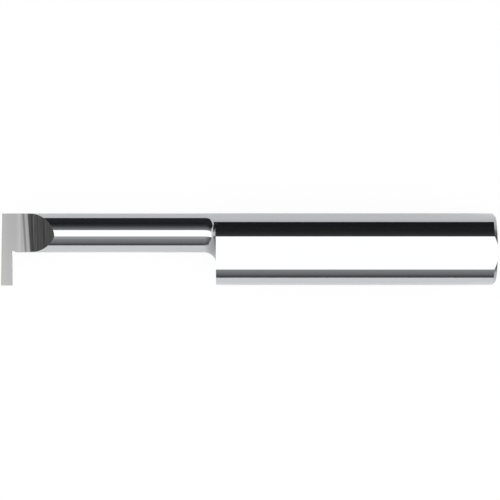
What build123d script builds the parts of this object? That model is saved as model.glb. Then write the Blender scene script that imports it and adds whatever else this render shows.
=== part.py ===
"""Solid-carbide internal grooving bar, a small boring bar ground from one round blank.

The whole tool is one piece. A round shank with a full-length locating flat steps down, at a
shoulder, to a slim neck that is ground off the shank's axis. A second, larger radius relieves
the neck towards the chips, so that a fine crease runs along its top. At the neck's end stands a
thin blade with the cutting edge, and a notch across the end forms the rake face and lets the
chips out.

Frame, in millimetres: the origin is the centre of the shank's rear end face. +X runs along the
shank to the rear, so the cutting edge is at the far -X end. The blade points to -Y, the neck
lies to +Y of the shank's axis, and +Z is the side of the flat and the rake face.
"""

import os
from math import cos, radians, sin, tan

from build123d import *

# Shank
shank_diameter = 8.0
overall_length = 55.0
rear_chamfer = 0.34
flat_depth = 0.44

# Neck
reach = 24.0            # cutting edge to shoulder
neck_diameter = 4.5
neck_back_depth = 0.01  # how far the neck's back lies under the shank's surface
shoulder_radius = 1.34

# Relief along the neck's chip side
relief_radius = 3.53
relief_reach = 0.46     # shank axis to the relief's outermost line, on the blade's side
relief_drop = 1.0       # the relief's axis below the rake face

# Blade
cutting_width = 1.30
tip_height = 4.08       # shank axis to cutting edge
front_clearance = 1.6   # degrees, falling away from the cutting edge along the blade
back_clearance = 1.9    # degrees, the same on the blade's rear side
side_relief = 3.0       # degrees, below the rake face on both sides
heel_relief = 8.0       # degrees, below the cutting edge
heel_run_in = 0.05      # how far the neck's back stands out of the blade's round heel

# Relief cut behind the blade's root
root_cut_depth = 0.24   # below the relief's outermost line
root_cut_length = 0.33
root_cut_slope = 33.0   # degrees, back out to the neck
root_radius = 0.10

# Notch over the cutting edge
rake_length = 3.05      # flat part of the rake face, along the neck's axis
runout_radius = 1.56    # left by the wheel's corner between rake face and ramp
ramp_angle = 42.0       # degrees to the rake face
ramp_skew = 3.4         # degrees, turned about Z so that the ramp stands further back by the blade

# Worked out from the sizes above
shank_radius = shank_diameter / 2
neck_radius = neck_diameter / 2
shank_length = overall_length - reach
neck_y = shank_radius - neck_radius - neck_back_depth
relief_y = relief_radius - relief_reach
overcut = shank_diameter  # how far a cut runs past the material


def tip_plane(offset, clearance, facing):
    """Plane of one side of the blade, at an offset behind the cutting edge's front corner.

    facing is -1 for the front side and +1 for the rear side. The plane leans in by the
    clearance towards the neck, and by the side relief below the rake face.
    """
    corner = Vector(-overall_length + offset, -tip_height, 0)
    return Plane(corner, z_dir=(facing, tan(radians(clearance)), -tan(radians(side_relief))))


def rod(radius, start, end, y=0.0, z=0.0):
    """Round bar along X between two stations."""
    return Pos(start, y, z) * Rot(0, 90, 0) * Cylinder(
        radius, end - start, align=(Align.CENTER, Align.CENTER, Align.MIN)
    )


def shoulder_envelope(radius, y, z=0.0):
    """Everything behind the shoulder's face and its radius, turned about the axis of a round."""
    fillet_start = -shank_length - shoulder_radius
    fillet_rim = y + radius + shoulder_radius
    outside = y + radius + overcut
    with BuildPart() as envelope:
        with BuildSketch(Plane.XY):
            with BuildLine():
                Line((fillet_start, y), (fillet_start, y + radius))
                JernArc((fillet_start, y + radius), (1, 0), shoulder_radius, 90)
                Polyline(
                    (-shank_length, fillet_rim),
                    (-shank_length, outside),
                    (overcut, outside),
                    (overcut, y),
                    (fillet_start, y),
                )
            make_face()
        revolve(axis=Axis((0, y, 0), (1, 0, 0)))
    return Pos(0, 0, z) * envelope.part


def make_shank():
    """Round shank, chamfered at the rear and cut to the shoulder's form at the front."""
    bar = rod(shank_radius, -shank_length - shoulder_radius, 0)
    bar = chamfer(bar.edges().group_by(Axis.X)[-1], rear_chamfer)
    bar = bar & shoulder_envelope(neck_radius, neck_y)
    return bar & shoulder_envelope(relief_radius, relief_y, -relief_drop)


def root_cut():
    """Cutter for the relief behind the blade, its left side in the plane of the blade's back."""
    lean = tan(radians(side_relief))
    bottom = -overcut

    def blade_back(y):
        return -overall_length + cutting_width - (y + tip_height) * tan(radians(back_clearance)) + bottom * lean

    floor_y = root_cut_depth - relief_reach
    floor_end = blade_back(floor_y) + root_cut_length
    open_y = floor_y - overcut
    corner = (blade_back(floor_y), floor_y)
    outline = Pos(0, 0, bottom) * make_face(
        Polyline(
            (blade_back(open_y), open_y),
            corner,
            (floor_end, floor_y),
            (floor_end + overcut / tan(radians(root_cut_slope)), open_y),
            close=True,
        )
    )
    root = outline.vertices().sort_by_distance((*corner, bottom))[0]
    outline = fillet(root, root_radius)
    return extrude(outline, 2 * overcut / cos(radians(side_relief)), dir=(lean, 0, 1))


def make_neck():
    """Slim neck from the blade's front side to the start of the shoulder's radius."""
    ends = -overall_length - overcut, -shank_length - shoulder_radius
    bar = rod(neck_radius, *ends, y=neck_y) & rod(relief_radius, *ends, y=relief_y, z=-relief_drop)
    bar = split(bar, bisect_by=tip_plane(0, front_clearance, -1), keep=Keep.BOTTOM)
    return bar - root_cut()


def make_blade():
    """Thin blade: a slice of a round heel that falls away under the cutting edge.

    The heel's circle passes through the cutting edge at the relief angle and closes in on the
    neck's back, so its radius follows from the neck, the edge and the angle.
    """
    angle = radians(heel_relief)
    edge_to_neck = neck_y + tip_height
    inner = neck_radius - heel_run_in
    heel_radius = (edge_to_neck**2 - inner**2) / (2 * (edge_to_neck * cos(angle) - inner))
    heel_y = heel_radius * cos(angle) - tip_height
    heel_z = heel_radius * sin(angle)
    disc = rod(heel_radius, -overall_length - overcut, -overall_length + overcut, heel_y, heel_z)
    disc = split(disc, bisect_by=tip_plane(0, front_clearance, -1), keep=Keep.BOTTOM)
    return split(disc, bisect_by=tip_plane(cutting_width, back_clearance, 1), keep=Keep.BOTTOM)


def chip_notch():
    """Cutter for the notch: rake face, wheel radius and ramp, drawn square to the ramp's foot."""
    ramp = radians(ramp_angle)
    skew = radians(ramp_skew)
    drawing = Plane(
        origin=(-overall_length, neck_y, 0),
        x_dir=(cos(skew), sin(skew), 0),
        z_dir=(sin(skew), -cos(skew), 0),
    )
    with BuildPart() as cutter:
        with BuildSketch(drawing):
            with BuildLine():
                face = Line((-overcut, 0), (rake_length, 0))
                bend = JernArc(face @ 1, (1, 0), runout_radius, ramp_angle)
                climb = overcut - (bend @ 1).Y
                top = (bend @ 1) + Vector(climb / tan(ramp), climb)
                Polyline(bend @ 1, top, (-overcut, overcut), (-overcut, 0))
            make_face()
        extrude(amount=2 * overcut, both=True)
    return cutter.part


def locating_flat():
    """Cutter for the flat along the shank, parallel to its axis."""
    floor = shank_radius - flat_depth
    return Pos(0, 0, floor) * Box(
        2 * shank_length + 2 * overcut, shank_diameter, shank_diameter,
        align=(Align.CENTER, Align.CENTER, Align.MIN),
    )


def make_boring_bar():
    """The finished tool, one solid."""
    blank = make_shank() + make_neck() + make_blade()
    return blank - locating_flat() - chip_notch()


os.makedirs("parts", exist_ok=True)
boring_bar = make_boring_bar()
export_step(boring_bar, "parts/boring_bar.step")
print("volume mm3", round(boring_bar.volume, 2), "box", boring_bar.bounding_box())
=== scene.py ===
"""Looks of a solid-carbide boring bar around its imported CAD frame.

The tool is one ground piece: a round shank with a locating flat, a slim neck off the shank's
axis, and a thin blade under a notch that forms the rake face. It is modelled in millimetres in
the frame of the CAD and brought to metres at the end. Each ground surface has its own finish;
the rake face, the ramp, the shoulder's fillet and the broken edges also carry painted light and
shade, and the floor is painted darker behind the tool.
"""

import logging
import math
from contextlib import contextmanager
from dataclasses import dataclass, field
from enum import Enum
from typing import Callable, Iterable, Iterator, Sequence

import bmesh
import bpy
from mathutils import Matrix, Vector

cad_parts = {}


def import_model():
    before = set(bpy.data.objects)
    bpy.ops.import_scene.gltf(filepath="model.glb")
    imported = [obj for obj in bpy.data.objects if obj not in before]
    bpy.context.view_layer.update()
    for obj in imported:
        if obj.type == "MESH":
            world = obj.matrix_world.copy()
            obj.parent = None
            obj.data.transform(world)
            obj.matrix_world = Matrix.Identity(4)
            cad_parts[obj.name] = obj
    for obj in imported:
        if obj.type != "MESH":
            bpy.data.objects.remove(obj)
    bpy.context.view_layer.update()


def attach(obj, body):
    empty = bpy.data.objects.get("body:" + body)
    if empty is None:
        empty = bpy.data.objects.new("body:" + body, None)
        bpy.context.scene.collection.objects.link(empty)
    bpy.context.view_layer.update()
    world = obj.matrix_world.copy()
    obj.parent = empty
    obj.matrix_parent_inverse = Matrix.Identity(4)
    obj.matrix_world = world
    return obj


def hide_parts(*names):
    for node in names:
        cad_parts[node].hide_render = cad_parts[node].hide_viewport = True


LOG = logging.getLogger("boring_bar")

MILLIMETRE = 0.001
SEGMENTS = 240          # flats of every round form
FILLET_STEPS = 16
OVERCUT = 8.0           # how far a cutter runs past the material, in millimetres
CLOSE = 1e-3            # millimetres within which a point lies on a plane
MERGE = 1e-5            # millimetres within which two points of a cutter are one
CUT = 1e-6              # the same where a plane is ground through the mesh
ON_FORM = 0.008         # millimetres within which a face's middle lies on a round surface
ALIKE = math.cos(math.radians(7.0))     # cosine over which two normals agree
SQUARE = 0.99           # cosine over which a face is square to a direction
FACING = 0.5            # cosine over which a face looks mostly one way

Colour = tuple[float, float, float]
Steps = tuple[tuple[float, float], ...]
Value = float | Sequence[float] | bpy.types.NodeSocket
FaceTest = Callable[[bmesh.types.BMFace], bool]

WHITE: Colour = (1.0, 1.0, 1.0)
BLACK: Colour = (0.0, 0.0, 0.0)


class Join(Enum):
    """How a second solid is worked into a first one."""

    UNION = "UNION"
    INTERSECT = "INTERSECT"
    DIFFERENCE = "DIFFERENCE"


# -------- Workbench --------


def activate(piece: bpy.types.Object) -> None:
    """Makes one piece the only selected and the active one.

    Args:
        piece: The object to work on.
    """
    bpy.ops.object.select_all(action="DESELECT")
    piece.select_set(True)
    bpy.context.view_layer.objects.active = piece


@contextmanager
def editing(piece: bpy.types.Object, mode: str = "FACE") -> Iterator[bmesh.types.BMesh]:
    """Opens a piece in edit mode with nothing selected, and closes it again.

    Args:
        piece: The object to edit.
        mode: What is selected: VERT, EDGE or FACE.

    Yields:
        The mesh that is edited.
    """
    activate(piece)
    bpy.ops.object.mode_set(mode="EDIT")
    bpy.ops.mesh.select_mode(type=mode)
    bpy.ops.mesh.select_all(action="DESELECT")
    try:
        yield bmesh.from_edit_mesh(piece.data)
    finally:
        bpy.ops.object.mode_set(mode="OBJECT")


def pick_edges(piece: bpy.types.Object, mesh: bmesh.types.BMesh, x: float) -> None:
    """Selects the edges that lie in the plane across X at one station.

    Args:
        piece: The object in edit mode.
        mesh: Its mesh.
        x: X of the station.
    """
    for edge in mesh.edges:
        edge.select_set(all(abs(vertex.co.x - x) < CLOSE for vertex in edge.verts))
    bmesh.update_edit_mesh(piece.data)


def settle(piece: bpy.types.Object) -> bpy.types.Object:
    """Applies a piece's place, turn and size to its mesh.

    Args:
        piece: The object to settle.

    Returns:
        The same object.
    """
    activate(piece)
    bpy.ops.object.transform_apply(location=True, rotation=True, scale=True)
    return piece


def face_outwards() -> None:
    """Merges doubles of the mesh in edit mode and turns its faces outwards."""
    bpy.ops.mesh.select_all(action="SELECT")
    bpy.ops.mesh.remove_doubles(threshold=MERGE)
    bpy.ops.mesh.normals_make_consistent(inside=False)


def round_bar(name: str, radius: float, start: float, end: float,
              y: float = 0.0, z: float = 0.0) -> bpy.types.Object:
    """Adds a round bar along X.

    Args:
        name: The object's name.
        radius: Radius of the bar.
        start: X of its front end.
        end: X of its rear end.
        y: Y of its axis.
        z: Z of its axis.

    Returns:
        The bar.
    """
    bpy.ops.mesh.primitive_cylinder_add(
        vertices=SEGMENTS, radius=radius, depth=end - start, end_fill_type="NGON",
        location=((start + end) / 2, y, z), rotation=(0, math.pi / 2, 0),
    )
    bar = bpy.context.object
    bar.name = name
    return settle(bar)


def combine(body: bpy.types.Object, tool: bpy.types.Object, how: Join) -> None:
    """Works a second solid into a body and removes the second one.

    Args:
        body: The body that stays.
        tool: The solid that is added, kept in common or taken away.
        how: The kind of joint.
    """
    activate(body)
    modifier = body.modifiers.new(how.value.lower(), "BOOLEAN")
    modifier.operation = how.value
    modifier.solver = "EXACT"
    modifier.object = tool
    bpy.ops.object.modifier_apply(modifier=modifier.name)
    bpy.data.objects.remove(tool)


def slice_off(body: bpy.types.Object, point: Vector, outwards: Vector) -> None:
    """Grinds a plane face: all on its outer side goes, and the cut is closed.

    Args:
        body: The body to cut.
        point: A point on the plane.
        outwards: The plane's normal.
    """
    with editing(body):
        bpy.ops.mesh.select_all(action="SELECT")
        bpy.ops.mesh.bisect(plane_co=point, plane_no=outwards, use_fill=True,
                            clear_outer=True, threshold=CUT)


def slope(degrees: float) -> float:
    """The tangent of an angle in degrees."""
    return math.tan(math.radians(degrees))


def opaque(colour: Colour) -> tuple[float, float, float, float]:
    """A colour with its alpha."""
    return (*colour, 1.0)


@dataclass(frozen=True)
class RoundForm:
    """A round surface whose normals are known: a cylinder, with or without a fillet.

    Attributes:
        radius: Radius of the cylinder.
        centre: A point on its axis.
        axis: Direction of its axis.
        hollow: Whether the material lies outside the cylinder.
        fillet: Radius by which it runs out into a shoulder, or 0.
        fillet_from: How far along the axis the fillet starts.
    """

    radius: float
    centre: Vector
    axis: Vector = field(default_factory=lambda: Vector((1, 0, 0)))
    hollow: bool = False
    fillet: float = 0.0
    fillet_from: float = math.inf

    def measure(self, point: Vector) -> tuple[float, Vector]:
        """Compares a point with the surface.

        Args:
            point: A point on or near the surface.

        Returns:
            Its distance from the surface, and the outward normal there.
        """
        offset = point - self.centre
        along = offset.dot(self.axis)
        across = offset - along * self.axis
        if along > self.fillet_from:
            wheel = across.normalized() * (self.radius + self.fillet)
            inwards = wheel - across + (self.fillet_from - along) * self.axis
            return abs(inwards.length - self.fillet), inwards.normalized()
        normal = -across if self.hollow else across
        return abs(across.length - self.radius), normal.normalized()

    def holds(self, face: bmesh.types.BMFace) -> bool:
        """Whether a face is part of this surface, by its middle and its normal."""
        away, normal = self.measure(face.calc_center_median())
        return away < ON_FORM and normal.dot(face.normal) > ALIKE

    def is_fillet(self, face: bmesh.types.BMFace) -> bool:
        """Whether a face is part of this surface's fillet."""
        along = (face.calc_center_median() - self.centre).dot(self.axis)
        return along > self.fillet_from and self.holds(face)


# -------- Finishes, with painted light and shade ---


class Graph:
    """A node tree with short ways to add and join nodes."""

    def __init__(self, tree: bpy.types.NodeTree) -> None:
        """Starts from an emptied tree.

        Args:
            tree: The node tree to fill.
        """
        self.tree = tree
        tree.nodes.clear()

    def add(self, kind: str, inputs: dict[str | int, Value] | None = None,
            **settings: object) -> bpy.types.Node:
        """Adds a node.

        Args:
            kind: The node's type.
            inputs: Values or sockets for its inputs, by name or number.
            **settings: Properties of the node.

        Returns:
            The node.
        """
        node = self.tree.nodes.new(kind)
        for name, value in settings.items():
            setattr(node, name, value)
        for key, value in (inputs or {}).items():
            if isinstance(value, bpy.types.NodeSocket):
                self.tree.links.new(value, node.inputs[key])
            else:
                node.inputs[key].default_value = value
        return node

    def math(self, operation: str, *values: Value) -> bpy.types.NodeSocket:
        """Adds a Math node and returns its result."""
        return self.add("ShaderNodeMath", dict(enumerate(values)), operation=operation).outputs[0]

    def spread(self, value: bpy.types.NodeSocket, low: float, high: float,
               to_low: float, to_high: float) -> bpy.types.NodeSocket:
        """Maps a range of values to another, held at its ends.

        Args:
            value: The value to map.
            low: Where the range starts.
            high: Where it ends.
            to_low: Result at its start.
            to_high: Result at its end.

        Returns:
            The mapped value.
        """
        node = self.add("ShaderNodeMapRange", {"Value": value, "From Min": low, "From Max": high,
                                               "To Min": to_low, "To Max": to_high})
        return node.outputs["Result"]

    def mix(self, factor: Value, first: Value, second: Value,
            blend: str = "MIX") -> bpy.types.NodeSocket:
        """Mixes two colours.

        Args:
            factor: Share of the second colour.
            first: The first colour, or the socket that gives it.
            second: The second one.
            blend: How the two are mixed.

        Returns:
            The mixed colour.
        """
        first, second = (colour if isinstance(colour, bpy.types.NodeSocket) else opaque(colour)
                         for colour in (first, second))
        node = self.add("ShaderNodeMix", {0: factor, 6: first, 7: second},
                        data_type="RGBA", blend_type=blend)
        return node.outputs[2]

    def greys(self, value: bpy.types.NodeSocket, low: float, high: float,
              steps: Iterable[tuple[float, float]]) -> bpy.types.NodeSocket:
        """Turns a value into greys, step by step.

        Args:
            value: The value.
            low: Where the row of steps starts.
            high: Where it ends.
            steps: Share of the way from low to high, and grey, of each step.

        Returns:
            The grey.
        """
        place = self.spread(value, low, high, 0.0, 1.0)
        ramp = self.add("ShaderNodeValToRGB", {"Fac": place})
        stops = ramp.color_ramp.elements
        stops.remove(stops[-1])
        for number, (position, grey) in enumerate(steps):
            stop = stops[0] if number == 0 else stops.new(position)
            stop.position = position
            stop.color = opaque((grey, grey, grey))
        return ramp.outputs["Color"]


def new_material(name: str) -> tuple[bpy.types.Material, Graph, bpy.types.NodeSocket]:
    """Starts a material whose patterns stay with the piece.

    Args:
        name: The material's name.

    Returns:
        The material, its graph and its Object coordinates.
    """
    material = bpy.data.materials.new(name)
    material.use_nodes = True
    graph = Graph(material.node_tree)
    return material, graph, graph.add("ShaderNodeTexCoord").outputs["Object"]


def new_group(name: str, inputs: dict[str, tuple[str, object]],
              outputs: Iterable[str]) -> tuple[bpy.types.NodeTree, Graph, bpy.types.Node]:
    """Starts a shader node group with named sockets.

    Args:
        name: The group's name.
        inputs: Socket type and start value of each input.
        outputs: Names of its float outputs.

    Returns:
        The group, its graph and its input node.
    """
    group = bpy.data.node_groups.new(name, "ShaderNodeTree")
    for label, (kind, start) in inputs.items():
        socket = group.interface.new_socket(name=label, in_out="INPUT", socket_type=kind)
        if start is not None:
            socket.default_value = start
    for label in outputs:
        group.interface.new_socket(name=label, in_out="OUTPUT", socket_type="NodeSocketFloat")
    graph = Graph(group)
    return group, graph, graph.add("NodeGroupInput")


class Effects:
    """Node groups that several finishes share. Each is built once."""

    def __init__(self) -> None:
        """Builds the groups."""
        self.grinding_lines = self._grinding_lines()
        self.wiping_haze = self._wiping_haze()

    @staticmethod
    def _grinding_lines() -> bpy.types.NodeTree:
        """Long thin lines left by the grains of a grinding wheel.

        Returns:
            A group whose Fine and Broad masks run from 0 to 1.
        """
        group, graph, given = new_group(
            "grinding_lines",
            {"Vector": ("NodeSocketVector", None),
             "Across": ("NodeSocketVector", (1000.0, 10.0, 10.0)),
             "Contrast": ("NodeSocketFloat", 1.0)},
            ("Fine", "Broad"),
        )
        point = graph.add("ShaderNodeVectorMath", {0: given.outputs["Vector"],
                                                   1: given.outputs["Across"]},
                          operation="MULTIPLY").outputs[0]
        masks, middle = [], 0.5
        for factor, detail in ((1.0, 3.0), (0.23, 1.0)):
            scaled = graph.add("ShaderNodeVectorMath", {0: point, "Scale": factor},
                               operation="SCALE").outputs[0]
            noise = graph.add("ShaderNodeTexNoise", {"Vector": scaled, "Scale": 1.0,
                                                     "Detail": detail, "Roughness": 0.6})
            centred = graph.math("SUBTRACT", noise.outputs["Fac"], middle)
            stretched = graph.math("MULTIPLY", centred, given.outputs["Contrast"])
            masks.append(graph.add("ShaderNodeMath", {0: stretched, 1: middle}, operation="ADD",
                                   use_clamp=True).outputs[0])
        graph.add("NodeGroupOutput", {"Fine": masks[0], "Broad": masks[1]})
        return group

    @staticmethod
    def _wiping_haze() -> bpy.types.NodeTree:
        """Faint clouds where the tool was wiped and handled.

        Returns:
            A group whose Haze mask runs from 0 to 1.
        """
        group, graph, given = new_group(
            "wiping_haze",
            {"Vector": ("NodeSocketVector", None), "Size": ("NodeSocketFloat", 4.0)},
            ("Haze",),
        )
        per_metre = graph.math("DIVIDE", 1.0 / MILLIMETRE, given.outputs["Size"])
        noise = graph.add("ShaderNodeTexNoise", {"Vector": given.outputs["Vector"],
                                                 "Scale": per_metre, "Detail": 4.0,
                                                 "Roughness": 0.65, "Distortion": 0.4})
        clear, clouded = 0.35, 0.7
        haze = graph.spread(noise.outputs["Fac"], clear, clouded, 0.0, 1.0)
        graph.add("NodeGroupOutput", {"Haze": haze})
        return group


@dataclass(frozen=True)
class GroundFinish:
    """A carbide surface as the wheel left it.

    Attributes:
        name: The material's name.
        tone: Colour of the metal between the lines.
        line_tone: Colour in the deepest lines.
        roughness: Roughness between the lines.
        line_roughness: Roughness in the deepest lines.
        across: Lines to the millimetre along X, Y and Z.
        broad_share: Share of the broad lines in the mask, the rest being fine ones.
        contrast: How strongly lines stand apart.
        height: Depth of the lines, in metres.
        haze: How much wiping haze adds to the roughness.
    """

    name: str
    tone: Colour
    line_tone: Colour
    roughness: float
    line_roughness: float
    across: tuple[float, float, float]
    broad_share: float = 0.5
    contrast: float = 1.0
    height: float = 2e-7
    haze: float = 0.02

    def build(self, effects: Effects) -> bpy.types.Material:
        """Makes the material.

        Args:
            effects: The shared node groups.

        Returns:
            The material.
        """
        material, graph, point = new_material(self.name)
        per_metre = [count / MILLIMETRE for count in self.across]
        lines = graph.add("ShaderNodeGroup",
                          {"Vector": point, "Across": per_metre, "Contrast": self.contrast},
                          node_tree=effects.grinding_lines)
        haze = graph.add("ShaderNodeGroup", {"Vector": point}, node_tree=effects.wiping_haze)
        mask = graph.add("ShaderNodeMix", {"Factor": self.broad_share,
                                           "A": lines.outputs["Fine"],
                                           "B": lines.outputs["Broad"]}).outputs["Result"]
        tone = self.shade(graph, point, graph.mix(mask, self.line_tone, self.tone))
        rough = graph.spread(mask, 0.0, 1.0, self.line_roughness, self.roughness)
        rough = graph.math("ADD", rough, graph.math("MULTIPLY", haze.outputs["Haze"], self.haze))
        bump = graph.add("ShaderNodeBump", {"Strength": 1.0, "Distance": self.height,
                                            "Height": mask})
        metal = graph.add("ShaderNodeBsdfPrincipled",
                          {"Base Color": tone, "Roughness": rough, "Metallic": 1.0,
                           "Normal": bump.outputs["Normal"]})
        graph.add("ShaderNodeOutputMaterial", {"Surface": metal.outputs["BSDF"]})
        return material

    def shade(self, graph: Graph, point: bpy.types.NodeSocket,
              tone: bpy.types.NodeSocket) -> bpy.types.NodeSocket:
        """Leaves the tone as it is. Finishes with painted light and shade add it here."""
        return tone


@dataclass(frozen=True)
class PaintedShadingFinish(GroundFinish):
    """A ground face with painted light and shade in bands across it and towards the blade's tip.

    Attributes:
        straight: Steps of painted light and shade across the face: (millimetres from the front,
            factor).
        skewed: The same, square to the ramp's foot.
        front: X of the front.
        middle: Y at which the two agree.
        skew: Degrees by which the ramp's foot is turned.
        tip_gain: Factor that the tone reaches at the blade's tip, a painted highlight.
        tip_span: Y where the change to it starts and where it ends.
    """

    straight: Steps = ()
    skewed: Steps = ()
    front: float = -55.0
    middle: float = 1.74
    skew: float = 3.4
    tip_gain: float = 1.0
    tip_span: tuple[float, float] = (3.0, -4.1)

    def shade(self, graph: Graph, point: bpy.types.NodeSocket,
              tone: bpy.types.NodeSocket) -> bpy.types.NodeSocket:
        """Paints light and shade onto the tone band by band, and a highlight towards the blade's
        tip.

        Args:
            graph: The material's graph.
            point: Its Object coordinates.
            tone: The tone so far.

        Returns:
            The banded tone.
        """
        centre = graph.add("ShaderNodeVectorMath",
                           {0: point, 1: (self.front * MILLIMETRE, self.middle * MILLIMETRE, 0)},
                           operation="SUBTRACT").outputs[0]
        for steps, degrees in ((self.straight, 0.0), (self.skewed, self.skew)):
            if not steps:
                continue
            turn = math.radians(degrees)
            along = graph.add("ShaderNodeVectorMath",
                              {0: centre, 1: (math.cos(turn), math.sin(turn), 0)},
                              operation="DOT_PRODUCT").outputs["Value"]
            start, end = steps[0][0], steps[-1][0]
            shares = [((place - start) / (end - start), factor) for place, factor in steps]
            bands = graph.greys(along, start * MILLIMETRE, end * MILLIMETRE, shares)
            tone = graph.mix(1.0, tone, bands, "MULTIPLY")
        y = graph.add("ShaderNodeSeparateXYZ", {"Vector": point}).outputs["Y"]
        upper, lower = self.tip_span
        share = graph.spread(y, upper * MILLIMETRE, lower * MILLIMETRE, 1.0, self.tip_gain)
        return graph.add("ShaderNodeVectorMath", {0: tone, "Scale": share},
                         operation="SCALE").outputs[0]


class Surface(Enum):
    """The ground surfaces of the tool and their finishes, some with painted light and shade."""

    POLISHED = GroundFinish(
        "carbide_polished", tone=(0.440, 0.450, 0.466), line_tone=(0.425, 0.436, 0.452),
        roughness=0.055, line_roughness=0.075, across=(9.0, 0.12, 0.12), broad_share=0.4,
        contrast=1.2, height=3e-8, haze=0.01,
    )
    FLAT = GroundFinish(
        "carbide_flat", tone=(0.440, 0.450, 0.466), line_tone=(0.410, 0.422, 0.438),
        roughness=0.16, line_roughness=0.20, across=(0.15, 12.0, 0.15), contrast=1.4,
    )
    END = GroundFinish(
        "carbide_end", tone=(0.350, 0.354, 0.361), line_tone=(0.280, 0.284, 0.291),
        roughness=0.20, line_roughness=0.27, across=(0.3, 9.0, 1.2), contrast=1.5,
    )
    FLANK = GroundFinish(
        "carbide_flank", tone=(0.400, 0.405, 0.410), line_tone=(0.330, 0.335, 0.340),
        roughness=0.24, line_roughness=0.32, across=(8.0, 0.4, 8.0), contrast=1.6,
    )
    # Painted light and shade: lighter and darker bands where the face runs into the wheel radius,
    # a painted highlight towards the tip, and a tone darker than the carbide's.
    RAKE = PaintedShadingFinish(
        "carbide_rake", tone=(0.232, 0.229, 0.226), line_tone=(0.219, 0.216, 0.213),
        roughness=0.46, line_roughness=0.50, across=(6.0, 0.10, 0.10), contrast=1.6,
        straight=((0.0, 1.06), (0.9, 1.0), (1.65, 0.98), (1.88, 1.03), (2.08, 1.10), (2.25, 1.08),
                  (2.33, 0.91), (2.47, 0.94), (2.6, 1.0)),
        skewed=((2.46, 1.0), (2.55, 0.84), (2.66, 0.50), (2.76, 0.50), (2.85, 0.88),
                (2.98, 0.90), (3.08, 0.78), (3.20, 0.66)),
        tip_gain=1.13,
    )
    # Painted shade: a tone far darker than the carbide's, and darker and lighter bands across the
    # ramp; its coarse streaks are real grinding lines.
    RAMP = PaintedShadingFinish(
        "carbide_ramp", tone=(0.083, 0.082, 0.081), line_tone=(0.038, 0.0375, 0.037),
        roughness=0.46, line_roughness=0.52, across=(8.418, 0.14, 0.0), contrast=3.8,
        broad_share=0.12, height=8e-7,
        straight=((0.0, 1.0), (4.4, 1.0), (4.8, 0.96), (4.95, 0.83), (5.25, 0.80), (5.4, 0.88)),
        skewed=((0.0, 0.72), (3.25, 0.72), (3.42, 0.56), (3.58, 0.48), (3.68, 0.78), (3.95, 0.93),
                (4.3, 1.0)),
    )
    # Painted shade: the shoulder's fillet is painted darker towards the shoulder's face.
    CORNER = PaintedShadingFinish(
        "carbide_corner", tone=(0.440, 0.450, 0.466), line_tone=(0.425, 0.436, 0.452),
        roughness=0.12, line_roughness=0.16, across=(9.0, 0.3, 0.3), contrast=1.5,
        straight=((22.66, 1.0), (22.78, 0.96), (23.0, 0.80), (23.25, 0.68), (23.6, 0.58),
                  (24.0, 0.55)),
    )
    # The broken edges are rougher, as honed edges are, and painted lighter than the polished
    # carbide: a painted highlight along them.
    EDGE = GroundFinish(
        "carbide_edge", tone=(0.480, 0.485, 0.492), line_tone=(0.430, 0.435, 0.442),
        roughness=0.20, line_roughness=0.28, across=(4.0, 4.0, 4.0), contrast=1.5,
    )


# -------- The tool --------


@dataclass(frozen=True)
class Shank:
    """Round shank with a rear chamfer and a full-length locating flat."""

    radius: float = 4.0
    length: float = 31.0
    chamfer: float = 0.34
    flat_depth: float = 0.44
    face_depth: float = 0.05    # how far off its plane a face of the shoulder may lie

    @property
    def flat_height(self) -> float:
        """Height of the flat over the axis."""
        return self.radius - self.flat_depth

    def build(self, front: float) -> bpy.types.Object:
        """Turns the bar of which the whole tool is ground.

        Args:
            front: X of the bar's front end.

        Returns:
            The bar.
        """
        bar = round_bar("boring_bar_body", self.radius, front, 0.0)
        with editing(bar, "EDGE") as mesh:
            pick_edges(bar, mesh, 0.0)
            bpy.ops.mesh.bevel(offset=self.chamfer, offset_type="OFFSET", segments=1,
                               affect="EDGES")
        return bar

    def forms(self) -> list[RoundForm]:
        """The shank's round surface."""
        return [RoundForm(self.radius, Vector((0, 0, 0)))]

    def grind_flat(self, body: bpy.types.Object) -> None:
        """Grinds the flat along the shank."""
        slice_off(body, Vector((0, 0, self.flat_height)), Vector((0, 0, 1)))

    def is_flat(self, face: bmesh.types.BMFace) -> bool:
        """Whether a face is the flat."""
        return face.normal.z > SQUARE and face.calc_center_median().z > self.flat_height - CLOSE

    def is_end(self, face: bmesh.types.BMFace) -> bool:
        """Whether a face is the rear face, its chamfer or the shoulder's face."""
        away = abs(face.calc_center_median().x + self.length)
        return face.normal.x > FACING or (face.normal.x < -SQUARE and away < self.face_depth)


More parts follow.
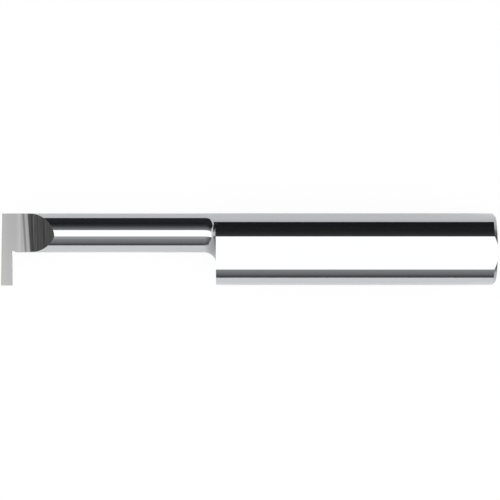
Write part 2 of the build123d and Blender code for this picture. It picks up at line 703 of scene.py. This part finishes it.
@dataclass(frozen=True)
class Neck:
    """Slim neck, ground by two radii that meet in a crease along its top.

    Each radius runs out into the shoulder with the wheel's corner radius.
    """

    y: float = 1.74
    radius: float = 2.25
    relief_radius: float = 3.53
    relief_y: float = 3.07
    relief_z: float = -1.0
    shoulder_radius: float = 1.34
    flange_lean: float = 0.3

    @property
    def passes(self) -> list[tuple[float, float, float]]:
        """Radius, Y and Z of the axis of each grinding pass, the relief last."""
        return [(self.radius, self.y, 0.0), (self.relief_radius, self.relief_y, self.relief_z)]

    def grind(self, body: bpy.types.Object, shoulder: float, front: float) -> None:
        """Grinds the neck and the shoulder out of the bar.

        Args:
            body: The bar.
            shoulder: X of the shoulder.
            front: X beyond the bar's front end.
        """
        for (radius, y, z), lean in zip(self.passes, (self.flange_lean, 0.0)):
            combine(body, self._form(radius, y, z, shoulder, front, lean), Join.INTERSECT)

    def forms(self, shoulder: float) -> list[RoundForm]:
        """The neck's round surfaces, with the fillets to the shoulder.

        Args:
            shoulder: X of the shoulder.

        Returns:
            The surfaces, the relief last.
        """
        return [RoundForm(radius, Vector((0, y, z)), fillet=self.shoulder_radius,
                          fillet_from=shoulder - self.shoulder_radius)
                for radius, y, z in self.passes]

    def _form(self, radius: float, y: float, z: float, shoulder: float,
              front: float, lean: float) -> bpy.types.Object:
        """Turned form that is left inside one grinding pass, drawn out ring by ring.

        Args:
            radius: Radius of the neck in this pass.
            y: Y of the pass's axis.
            z: Z of the pass's axis.
            shoulder: X of the shoulder.
            front: X beyond the bar's front end.
            lean: How far the flange leans to the front at its rim, so that only one of the
                two passes makes the shoulder's face.

        Returns:
            The form.
        """
        corner = shoulder - self.shoulder_radius
        turns = [math.pi / 2 * step / FILLET_STEPS for step in range(FILLET_STEPS + 1)]
        rings = [(corner + self.shoulder_radius * math.sin(turn),
                  radius + self.shoulder_radius * (1 - math.cos(turn))) for turn in turns]
        rings += [(shoulder - lean, radius + 2 * OVERCUT), (OVERCUT, radius + 2 * OVERCUT)]
        bpy.ops.mesh.primitive_circle_add(vertices=SEGMENTS, radius=radius, fill_type="NGON",
                                          location=(front, y, z), rotation=(0, math.pi / 2, 0))
        form = settle(bpy.context.object)
        with editing(form):
            bpy.ops.mesh.select_all(action="SELECT")
            x, size = front, radius
            for next_x, next_size in rings:
                bpy.ops.mesh.extrude_region_move(
                    TRANSFORM_OT_translate={"value": (next_x - x, 0, 0)})
                factor = next_size / size
                bpy.ops.transform.resize(value=(1, factor, factor),
                                         center_override=(next_x, y, z))
                x, size = next_x, next_size
            face_outwards()
        return form


@dataclass(frozen=True)
class Blade:
    """Thin blade with the cutting edge, a slice of a round heel."""

    front: float = -55.0
    tip: float = 4.08
    width: float = 1.30
    front_clearance: float = 1.6
    back_clearance: float = 1.9
    side_relief: float = 3.0
    heel_relief: float = 8.0
    heel_run_in: float = 0.05
    root_depth: float = 0.24
    root_length: float = 0.33
    root_slope: float = 33.0
    neck_lowest: float = -0.46
    inside: float = 0.3     # how far the root's cutter starts inside the blade
    root_room: float = 0.02  # how far over the root's floor its faces may lie

    def _back(self, y: float, z: float) -> float:
        """X of the blade's back at a place."""
        lean = (y + self.tip) * slope(self.back_clearance) - z * slope(self.side_relief)
        return self.front + self.width - lean

    def _outwards(self, clearance: float, facing: int) -> Vector:
        """Normal of one side of the blade: facing is -1 at the front and 1 at the back."""
        return Vector((facing, slope(clearance), -slope(self.side_relief))).normalized()

    def add(self, body: bpy.types.Object, neck: Neck) -> None:
        """Grinds the root, adds the blade and grinds the front face.

        Args:
            body: The tool so far.
            neck: The neck that carries the blade.
        """
        combine(body, self._root_cutter(), Join.DIFFERENCE)
        form = self.form(neck)
        heel = round_bar("heel", form.radius, self.front - OVERCUT, self.front + OVERCUT,
                         form.centre.y, form.centre.z)
        edge = Vector((self.front, -self.tip, 0))
        slice_off(heel, edge + Vector((self.width, 0, 0)), self._outwards(self.back_clearance, 1))
        combine(body, heel, Join.UNION)
        slice_off(body, edge, self._outwards(self.front_clearance, -1))

    def form(self, neck: Neck) -> RoundForm:
        """The round heel, which falls away under the cutting edge and closes in on the neck.

        Args:
            neck: The neck that carries the blade.

        Returns:
            Its surface.
        """
        angle = math.radians(self.heel_relief)
        reach = neck.y + self.tip
        inner = neck.radius - self.heel_run_in
        radius = (reach**2 - inner**2) / (2 * (reach * math.cos(angle) - inner))
        return RoundForm(radius, Vector((0, radius * math.cos(angle) - self.tip,
                                         radius * math.sin(angle))))

    def _root_cutter(self) -> bpy.types.Object:
        """Shapes the wedge that clears the neck behind the blade's root.

        Returns:
            The wedge.
        """
        floor = self.neck_lowest + self.root_depth
        bpy.ops.mesh.primitive_cube_add(size=2)
        cutter = bpy.context.object
        with editing(cutter, "VERT") as mesh:
            for vertex in mesh.verts:
                low, left = vertex.co.y < 0, vertex.co.x < 0
                z = math.copysign(OVERCUT, vertex.co.z)
                x = self._back(floor, z)
                x += -self.inside if left else self.root_length
                if low and not left:
                    x += OVERCUT / slope(self.root_slope)
                vertex.co = (x, floor - OVERCUT if low else floor, z)
            bmesh.update_edit_mesh(cutter.data)
            face_outwards()
        return cutter

    def is_flank(self, face: bmesh.types.BMFace) -> bool:
        """Whether a face belongs to the blade's sides, its heel or its root.

        Args:
            face: A face of the tool.

        Returns:
            True if it does.
        """
        centre = face.calc_center_median()
        floor = self.neck_lowest + self.root_depth
        limit = (self._back(centre.y, centre.z) + self.root_length
                 + self.root_depth / slope(self.root_slope))
        sideways = abs(face.normal.x) > FACING
        return centre.x < limit and (sideways or centre.y < floor + self.root_room)


@dataclass(frozen=True)
class ChipNotch:
    """Notch across the end: rake face, wheel radius and ramp."""

    front: float = -55.0
    length: float = 3.05
    radius: float = 1.56
    angle: float = 42.0
    skew: float = 3.4
    steps: int = 24
    # Faces that climb more than this take the ramp's finish, painted shade included.
    dark_from: float = 6.0  # degrees of climb at which the wheel's coarse side starts
    before: float = 1.0     # how far before the front its faces may lie
    beyond: float = 6.0     # and how far behind the rake face
    turned: float = 0.01    # cosine by which a face may be turned out of the notch's own skew

    def grind(self, body: bpy.types.Object, neck: Neck) -> None:
        """Cuts the notch out of the tool.

        Args:
            body: The tool so far.
            neck: The neck, on whose axis the notch is measured.
        """
        width = self.length + OVERCUT
        bpy.ops.mesh.primitive_plane_add(size=1)
        cutter = bpy.context.object
        bpy.ops.transform.resize(value=(width, 4 * OVERCUT, 1))
        bpy.ops.transform.translate(value=(self.length - width / 2, 0, 0))
        settle(cutter)
        with editing(cutter, "EDGE") as mesh:
            pick_edges(cutter, mesh, self.length)
            bpy.ops.mesh.spin(steps=self.steps, angle=math.radians(self.angle),
                              center=(self.length, 0, self.radius), axis=(0, 1, 0))
            climb = 2 * OVERCUT
            bpy.ops.mesh.extrude_region_move(
                TRANSFORM_OT_translate={"value": (climb / slope(self.angle), 0, climb)})
            bpy.ops.mesh.select_all(action="SELECT")
            bpy.ops.mesh.extrude_region_move(
                TRANSFORM_OT_translate={"value": (0, 0, 2 * climb)})
            face_outwards()
        cutter.location = (self.front, neck.y, 0)
        cutter.rotation_euler = (0, 0, math.radians(self.skew))
        combine(body, settle(cutter), Join.DIFFERENCE)

    def form(self, neck: Neck) -> RoundForm:
        """The hollow that the wheel's corner left between rake face and ramp.

        Args:
            neck: The neck, on whose axis the notch is measured.

        Returns:
            Its surface.
        """
        turn = math.radians(self.skew)
        centre = Vector((self.front + self.length * math.cos(turn),
                         neck.y + self.length * math.sin(turn), self.radius))
        return RoundForm(self.radius, centre, Vector((-math.sin(turn), math.cos(turn), 0)),
                         hollow=True)

    def _climb(self, face: bmesh.types.BMFace) -> float | None:
        """Measures how steep a face of the notch is.

        Args:
            face: A face of the tool.

        Returns:
            Its angle to the rake face in degrees, or None off the notch.
        """
        centre, normal = face.calc_center_median(), face.normal
        near = self.front - self.before < centre.x < self.front + self.length + self.beyond
        if not near or normal.z < FACING or centre.z < -CLOSE:
            return None
        turn = math.radians(self.skew)
        along = normal.x * math.cos(turn) + normal.y * math.sin(turn)
        aside = -normal.x * math.sin(turn) + normal.y * math.cos(turn)
        if abs(aside) > self.turned or along > self.turned:
            return None
        return math.degrees(math.asin(min(1.0, max(0.0, -along))))

    def is_rake(self, face: bmesh.types.BMFace) -> bool:
        """Whether a face is the rake face or the shallow start of the wheel radius."""
        climb = self._climb(face)
        return climb is not None and climb <= self.dark_from

    def is_ramp(self, face: bmesh.types.BMFace) -> bool:
        """Whether a face is the ramp or the steeper part of the wheel radius."""
        climb = self._climb(face)
        return climb is not None and climb > self.dark_from


@dataclass(frozen=True)
class BoringBar:
    """The whole tool, one piece."""

    shank: Shank = field(default_factory=Shank)
    neck: Neck = field(default_factory=Neck)
    blade: Blade = field(default_factory=Blade)
    notch: ChipNotch = field(default_factory=ChipNotch)
    edge_break: float = 0.03        # radius left on the edges that don't cut
    smallest_edge: float = 0.006    # shorter edges are merged before the edges are broken
    smallest_face: float = 1e-4     # narrower faces are dissolved
    bevel_from: float = 32.0        # degrees over which an edge is broken
    keen_share: float = 0.25        # how much of the break the edges round the notch get

    def build(self, effects: Effects) -> bpy.types.Object:
        """Grinds the tool and dresses it.

        Args:
            effects: The shared node groups.

        Returns:
            The finished piece, in metres.
        """
        front = self.blade.front - OVERCUT
        body = self.shank.build(front)
        self.neck.grind(body, -self.shank.length, front)
        self.shank.grind_flat(body)
        self.blade.add(body, self.neck)
        self.notch.grind(body, self.neck)
        self._tidy(body)
        self._assign_finishes(body, effects)
        self._break_edges(body)
        self._shade(body)
        body.scale = (MILLIMETRE,) * 3
        settle(body)
        return body

    def _tidy(self, body: bpy.types.Object) -> None:
        """Merges the shortest edges and turns the faces outwards.

        Args:
            body: The tool's mesh.
        """
        with editing(body):
            bpy.ops.mesh.select_all(action="SELECT")
            bpy.ops.mesh.remove_doubles(threshold=self.smallest_edge)
            bpy.ops.mesh.dissolve_degenerate(threshold=self.smallest_face)
            bpy.ops.mesh.normals_make_consistent(inside=False)

    def _assign_finishes(self, body: bpy.types.Object, effects: Effects) -> None:
        """Gives each ground surface its finish, painted light and shade included.

        Args:
            body: The tool's mesh.
            effects: The shared node groups.
        """
        for surface in Surface:
            body.data.materials.append(surface.value.build(effects))
        order = list(Surface)
        tests: list[tuple[Surface, FaceTest]] = [
            (Surface.RAMP, self.notch.is_ramp),
            (Surface.RAKE, self.notch.is_rake),
            (Surface.FLAT, self.shank.is_flat),
            (Surface.CORNER, self.neck.forms(-self.shank.length)[-1].is_fillet),
            (Surface.FLANK, self.blade.is_flank),
            (Surface.END, self.shank.is_end),
        ]
        counts = dict.fromkeys(order, 0)
        with editing(body) as mesh:
            for face in mesh.faces:
                found = next((s for s, test in tests if test(face)), Surface.POLISHED)
                face.material_index = order.index(found)
                counts[found] += 1
            bmesh.update_edit_mesh(body.data)
        LOG.info("faces by finish: %s", {s.name.lower(): n for s, n in counts.items()})

    def _break_edges(self, body: bpy.types.Object) -> None:
        """Breaks the outer edges by a hair, those round the notch by less.

        Args:
            body: The tool's mesh.
        """
        with editing(body, "EDGE") as mesh:
            weights = mesh.edges.layers.float.new("bevel_weight_edge")
            for edge in mesh.edges:
                edge[weights] = self._edge_weight(edge)
            bmesh.update_edit_mesh(body.data)
        bevel = body.modifiers.new("edge_break", "BEVEL")
        bevel.width = self.edge_break
        bevel.segments = 2
        bevel.limit_method = "WEIGHT"
        bevel.use_clamp_overlap = True
        # The bevel's faces take the edge finish and its faint painted highlight.
        bevel.material = list(Surface).index(Surface.EDGE)
        activate(body)
        bpy.ops.object.modifier_apply(modifier=bevel.name)

    def _edge_weight(self, edge: bmesh.types.BMEdge) -> float:
        """How far an edge is broken, from 0 to 1.

        Args:
            edge: An edge of the tool.

        Returns:
            0 for an inner or shallow edge, a little round the notch, and 1 elsewhere.
        """
        if not edge.is_manifold or not edge.is_convex:
            return 0.0
        if math.degrees(edge.calc_face_angle()) < self.bevel_from:
            return 0.0
        keen = any(self.notch.is_rake(face) or self.notch.is_ramp(face)
                   for face in edge.link_faces)
        return self.keen_share if keen else 1.0

    def _shade(self, body: bpy.types.Object) -> None:
        """Gives each corner of the mesh the normal of the true surface there.

        Args:
            body: The tool's mesh.
        """
        activate(body)
        bpy.ops.object.shade_smooth()
        forms = [*self.shank.forms(), *self.neck.forms(-self.shank.length),
                 self.blade.form(self.neck), self.notch.form(self.neck)]
        mesh = bmesh.new()
        mesh.from_mesh(body.data)
        normals = []
        rounded = 0
        for face in mesh.faces:
            form = next((form for form in forms if form.holds(face)), None)
            rounded += form is not None
            for corner in face.loops:
                normals.append(form.measure(corner.vert.co)[1] if form else face.normal.copy())
        mesh.free()
        body.data.normals_split_custom_set(normals)
        LOG.info("%d of %d faces lie on round surfaces", rounded, len(body.data.polygons))


# -------- Studio --------


@dataclass(frozen=True)
class Eye:
    """Camera over the tool, tipped from straight above towards its back."""

    tilt: float = 6.8           # degrees from +Z towards +Y
    distance: float = 312.8     # millimetres
    frame_width: float = 55.617  # millimetres seen across at that distance
    look_x: float = -27.247
    look_y: float = -0.092
    look_z: float = 0.011
    sensor: float = 36.0

    def place(self) -> None:
        """Adds the camera."""
        data = bpy.data.cameras.new("camera")
        data.sensor_width = self.sensor
        data.lens = self.sensor * self.distance / self.frame_width
        data.clip_start = 0.01
        camera = bpy.data.objects.new("camera", data)
        bpy.context.scene.collection.objects.link(camera)
        turn = math.radians(self.tilt)
        away = Vector((0, math.sin(turn), math.cos(turn))) * self.distance
        camera.location = (Vector((self.look_x, self.look_y, self.look_z)) + away) * MILLIMETRE
        camera.rotation_euler = (-turn, 0, 0)
        bpy.context.scene.camera = camera


@dataclass(frozen=True)
class Sky:
    """A long soft box overhead, darker walls, light end walls, and an even dome for the floor.

    Attributes:
        dome: Light that falls on matt surfaces.
        backdrop: Colour that the camera sees.
        bands: What reflections see round X: (degrees from the zenith towards +Y, light).
        full: Light of the brightest band.
        tint: Colour of all that reflections see.
        ends: X of the direction in which the end walls start, and are full.
        end_light: Light of the end walls.
    """

    dome: float = 1.62
    backdrop: Colour = (0.90, 0.90, 0.90)
    bands: Steps = (
        (-180.0, 0.11), (-93.0, 0.13), (-88.0, 0.19), (-82.0, 0.27), (-74.0, 0.375),
        (-66.0, 0.45), (-61.0, 0.67), (-51.8, 0.74), (-45.8, 2.42), (25.3, 2.42),
        (26.5, 0.50), (32.0, 0.36), (40.0, 0.24), (43.5, 0.18), (48.5, 0.10),
        (55.5, 0.050), (61.0, 0.036), (68.0, 0.025), (180.0, 0.022),
    )
    full: float = 2.42
    tint: Colour = (0.985, 1.0, 1.015)
    ends: tuple[float, float] = (0.92, 1.0)
    end_light: float = 1.5

    def hang(self) -> None:
        """Builds the world's light."""
        world = bpy.data.worlds.new("soft_studio")
        world.use_nodes = True
        bpy.context.scene.world = world
        graph = Graph(world.node_tree)
        direction = graph.add("ShaderNodeTexCoord").outputs["Generated"]
        parts = graph.add("ShaderNodeSeparateXYZ", {"Vector": direction})
        angle = graph.math("ARCTAN2", parts.outputs["Y"], parts.outputs["Z"])
        walls = graph.greys(angle, -math.pi, math.pi,
                            [((degrees + 180.0) / 360.0, light / self.full)
                             for degrees, light in self.bands])
        sideways = graph.math("ABSOLUTE", parts.outputs["X"])
        end = graph.spread(sideways, *self.ends, 0.0, 1.0)
        walls = graph.mix(end, walls, (self.end_light / self.full,) * 3)
        tinted = graph.mix(1.0, walls, self.tint, "MULTIPLY")
        box, dome, seen = (
            graph.add("ShaderNodeBackground", {"Color": colour, "Strength": light}).outputs[0]
            for colour, light in ((tinted, self.full), (opaque(WHITE), self.dome),
                                  (opaque(self.backdrop), 1.0)))
        path = graph.add("ShaderNodeLightPath")
        mirrored = graph.add("ShaderNodeMixShader",
                             {0: path.outputs["Is Glossy Ray"], 1: dome, 2: box})
        final = graph.add("ShaderNodeMixShader", {0: path.outputs["Is Camera Ray"],
                                                  1: mirrored.outputs[0], 2: seen})
        graph.add("ShaderNodeOutputWorld", {"Surface": final.outputs[0]})


@dataclass(frozen=True)
class Card:
    """An upright card on the floor, seen in reflections alone.

    Attributes:
        name: The card's name.
        start: X and Y of one end, in millimetres.
        end: X and Y of the other end.
        foot: Its brightness at the floor.
        top: Its brightness at its top.
        tint: Its colour.
    """

    name: str
    start: tuple[float, float]
    end: tuple[float, float]
    foot: float
    top: float
    tint: Colour = WHITE


@dataclass(frozen=True)
class Table:
    """Plain pale floor under the shank, painted darker behind the tool as shade, and the cards
    that only reflections see.
    """

    floor_z: float = -4.0
    size: float = 2400.0
    cuts: int = 3
    floor_tone: Colour = (0.80, 0.80, 0.80)
    # Painted shade: the floor is painted darker behind the tool.
    painted_shade_tone: Colour = (0.65, 0.65, 0.65)   # of the floor behind the tool
    shade_full_y: float = 20.0                     # where the floor has reached it
    grain: float = 900.0                    # grains of the paint to the metre
    grain_range: tuple[float, float] = (0.3, 0.7)
    roughness: tuple[float, float] = (0.85, 0.95)
    veil: float = 0.93                      # how far the camera sees the floor washed out
    card_top: float = 6.0
    cards: tuple[Card, ...] = (
        Card("back_card", (-32.0, 26.8), (1200.0, 26.8), 0.021, 0.021, (0.90, 1.0, 1.10)),
        Card("back_card_near", (-57.5, 20.5), (-32.0, 20.5), 0.037, 0.037, (0.88, 1.0, 1.06)),
        Card("left_card", (-57.5, 9.5), (-57.5, 20.5), 0.037, 0.037, (0.88, 1.0, 1.06)),
        Card("front_card", (-68.0, -51.9), (1200.0, -51.9), 0.10, 0.16),
        Card("rear_card", (14.0, -51.9), (14.0, 26.8), 0.20, 0.20),
    )

    def lay(self) -> None:
        """Adds the floor and the cards."""
        bpy.ops.mesh.primitive_plane_add(size=self.size * MILLIMETRE,
                                         location=(0, 0, self.floor_z * MILLIMETRE))
        floor = bpy.context.object
        floor.name = "floor"
        with editing(floor):
            bpy.ops.mesh.select_all(action="SELECT")
            bpy.ops.mesh.subdivide(number_cuts=self.cuts)
        floor.data.materials.append(self._floor_paint())
        for card in self.cards:
            self._stand(card)

    def _floor_paint(self) -> bpy.types.Material:
        """Mixes the floor's matt paint, with painted shade behind the tool.

        Returns:
            The material.
        """
        paint, graph, point = new_material("floor_paint")
        grain = graph.add("ShaderNodeTexNoise",
                          {"Vector": point, "Scale": self.grain, "Detail": 2.0})
        rough = graph.spread(grain.outputs["Fac"], *self.grain_range, *self.roughness)
        y = graph.add("ShaderNodeSeparateXYZ", {"Vector": point}).outputs["Y"]
        # Painted shade: the floor darkens behind the tool.
        behind = graph.spread(y, 0.0, self.shade_full_y * MILLIMETRE, 0.0, 1.0)
        tone = graph.mix(behind, self.floor_tone, self.painted_shade_tone)
        seen = graph.add("ShaderNodeLightPath").outputs["Is Camera Ray"]
        veil = graph.math("MULTIPLY", seen, self.veil)
        matt = graph.add("ShaderNodeBsdfPrincipled",
                         {"Base Color": graph.mix(veil, tone, BLACK), "Roughness": rough,
                          "Specular IOR Level": 0.0, "Emission Color": opaque(WHITE),
                          "Emission Strength": veil})
        graph.add("ShaderNodeOutputMaterial", {"Surface": matt.outputs["BSDF"]})
        return paint

    def _stand(self, card: Card) -> None:
        """Stands a card on the floor.

        Args:
            card: The card.
        """
        height = self.card_top - self.floor_z
        start, end = Vector(card.start), Vector(card.end)
        middle, along = (start + end) / 2, end - start
        bpy.ops.mesh.primitive_plane_add(size=1)
        board = bpy.context.object
        board.name = card.name
        board.scale = (along.length * MILLIMETRE, height * MILLIMETRE, 1)
        board.rotation_euler = (math.pi / 2, 0, math.atan2(along.y, along.x))
        board.location = Vector((*middle, self.floor_z + height / 2)) * MILLIMETRE
        settle(board)
        paint, graph, point = new_material(card.name)
        z = graph.add("ShaderNodeSeparateXYZ", {"Vector": point}).outputs["Z"]
        light = graph.spread(z, self.floor_z * MILLIMETRE, self.card_top * MILLIMETRE,
                             card.foot, card.top)
        glow = graph.add("ShaderNodeEmission", {"Color": opaque(card.tint), "Strength": light})
        graph.add("ShaderNodeOutputMaterial", {"Surface": glow.outputs[0]})
        board.data.materials.append(paint)
        board.visible_camera = False
        board.visible_diffuse = False
        board.visible_shadow = False


def main() -> None:
    """Loads the frame, builds the tool and the studio, and ties the piece to its body."""
    logging.basicConfig(level=logging.INFO, format="%(name)s: %(message)s")
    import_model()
    bpy.context.scene.view_settings.view_transform = "Standard"
    Eye().place()
    Sky().hang()
    Table().lay()
    piece = BoringBar().build(Effects())
    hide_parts("boring_bar")
    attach(piece, "root")
    LOG.info("%s: %d faces, rides on root", piece.name, len(piece.data.polygons))


if __name__ == "__main__":
    main()
